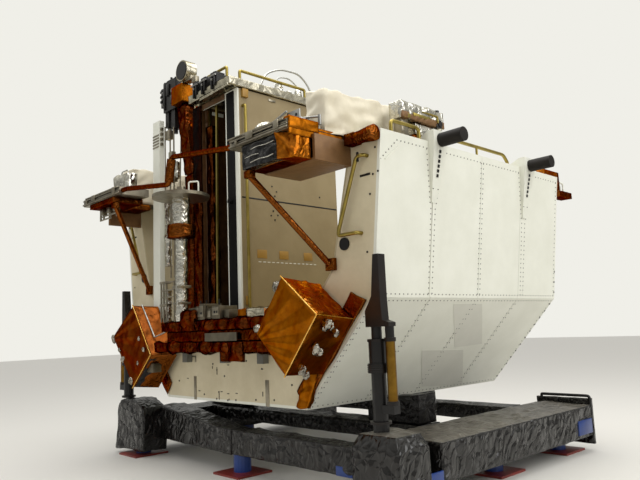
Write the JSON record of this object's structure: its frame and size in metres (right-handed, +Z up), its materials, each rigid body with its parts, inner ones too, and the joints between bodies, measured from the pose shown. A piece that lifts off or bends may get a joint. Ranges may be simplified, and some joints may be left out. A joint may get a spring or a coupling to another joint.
{
  "type": "space payload carrier on a transport cradle",
  "caption": "U-shaped cargo-bay payload carrier with a tall instrument enclosure, shelves and wrapped equipment, standing on its wrapped transport cradle",
  "frame": {"origin": "middle of the bounding box's bottom, on the floor under the cradle", "axes": "+X to the carrier's right as seen facing its rear, across the two rows of trunnions; +Y from the shelves at the front to the rear; +Z up"},
  "size_m": [4.788, 3.842, 4.362],
  "materials": {
    "white_paint": "satin white thermal paint",
    "beige_paint": "matte beige primer",
    "lining_paint": "matte",
    "packing_film": "glossy grey packing film over dark beams",
    "copper_film": "crinkled copper polyimide film",
    "amber_film": "amber polyimide film",
    "gold_foil": "crinkled gold foil",
    "silver_foil": "crinkled silver foil",
    "gold_anodised": "gold anodised",
    "grey_metal": "machined",
    "black_metal": "satin black",
    "white_fabric": "woven white cover",
    "steel": "brushed",
    "blue_paint": "gloss blue",
    "red_paint": "gloss red",
    "brown_metal": "dark brown",
    "rubber_black": "matte"
  },
  "bodies": {
    "carrier": {"frame_1": "beige_paint", "frame_2": "beige_paint", "frame_3": "beige_paint", "frame_4": "beige_paint", "frame_5": "beige_paint", "side_panels": "white_paint", "slope_panels": "white_paint", "bottom_panels": "white_paint", "inner_side_panels": "lining_paint", "inner_slope_panels": "lining_paint", "floor_panels": "lining_paint", "sills": "white_paint", "trunnion_fairings": "white_paint", "trunnion_housings": "white_paint", "trunnions": "steel", "trunnion_covers": "rubber_black", "keel_pin": "steel", "sill_handrails": "gold_anodised", "arm_handrails": "gold_anodised", "port_covers": "black_metal", "arm_caps": "copper_film", "sill_fittings": "gold_anodised", "rear_bracket": "copper_film", "instrument_enclosure": "beige_paint", "enclosure_front_frame": "white_paint", "enclosure_seals": "rubber_black", "enclosure_rails": "gold_anodised", "enclosure_stand": "beige_paint", "lid_hinge": "steel", "film_post": "copper_film", "post_head": "gold_foil", "control_boxes": "black_metal", "signal_drum": "silver_foil", "white_column": "white_paint", "shelves": "copper_film", "latch_decks": "grey_metal", "shelf_struts": "copper_film", "link_tube": "copper_film", "platform_stem": "silver_foil", "stem_band": "copper_film", "round_platform": "grey_metal", "cross_beam": "copper_film", "beam_brackets": "grey_metal", "beam_fittings": "grey_metal", "film_boxes": "amber_film", "film_box_plates": "copper_film", "fabric_covers": "white_fabric", "cradle_side_beams": "packing_film", "cradle_piers": "packing_film", "cradle_cross_beams": "packing_film", "cradle_saddles": "packing_film", "cradle_front_beam": "packing_film", "cradle_end_brackets": "grey_metal", "cradle_feet": "blue_paint", "floor_plates": "red_paint", "knee_brackets": "brown_metal", "knee_jacks": "black_metal"},
    "lid": {"enclosure_lid": "silver_foil", "lid_handrails": "gold_anodised", "lid_clamps": "black_metal"}
  },
  "joints": [
    {"name": "lid_hinge", "type": "hinge", "parent": "carrier", "child": "lid", "pos_m": [-0.17, 0.21, 3.831], "axis": [-1, 0, 0], "range_deg": [0, 95]}
  ]
}
